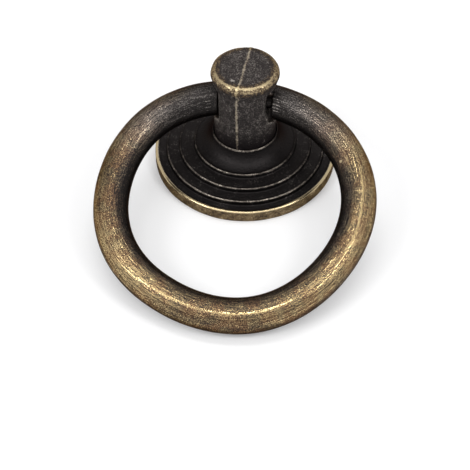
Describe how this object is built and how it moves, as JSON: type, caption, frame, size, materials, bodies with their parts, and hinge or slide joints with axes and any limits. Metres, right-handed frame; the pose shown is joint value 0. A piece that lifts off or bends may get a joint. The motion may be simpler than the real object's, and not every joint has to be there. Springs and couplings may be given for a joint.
{
  "type": "ring pull handle",
  "caption": "Ring pull handle: a thick round ring swings on pins in a short capped post that stands on a stepped round backplate.",
  "frame": {"origin": "centre of the backplate's back face, in the surface of the door or drawer front", "axes": "+Z out of the door along the post, X along the line that the ring swings about, and the ring at rest towards -Y"},
  "size_m": [0.0436, 0.0536, 0.0195],
  "materials": {
    "plate_finish": "antique brass, nearly black with rubbed bright edges",
    "post_finish": "antique brass, dark cast skin with a rubbed bright rim",
    "ring_finish": "antique brass, brown and brushed, rubbed bright on the outside"
  },
  "bodies": {
    "base": {"backplate": "plate_finish", "post": "post_finish"},
    "pull": {"ring": "ring_finish"}
  },
  "joints": [
    {"name": "ring_swing", "type": "hinge", "parent": "base", "child": "pull", "pos_m": [0, 0, 0.0126], "axis": [-1, 0, 0], "range_deg": [0, 210.7]}
  ]
}
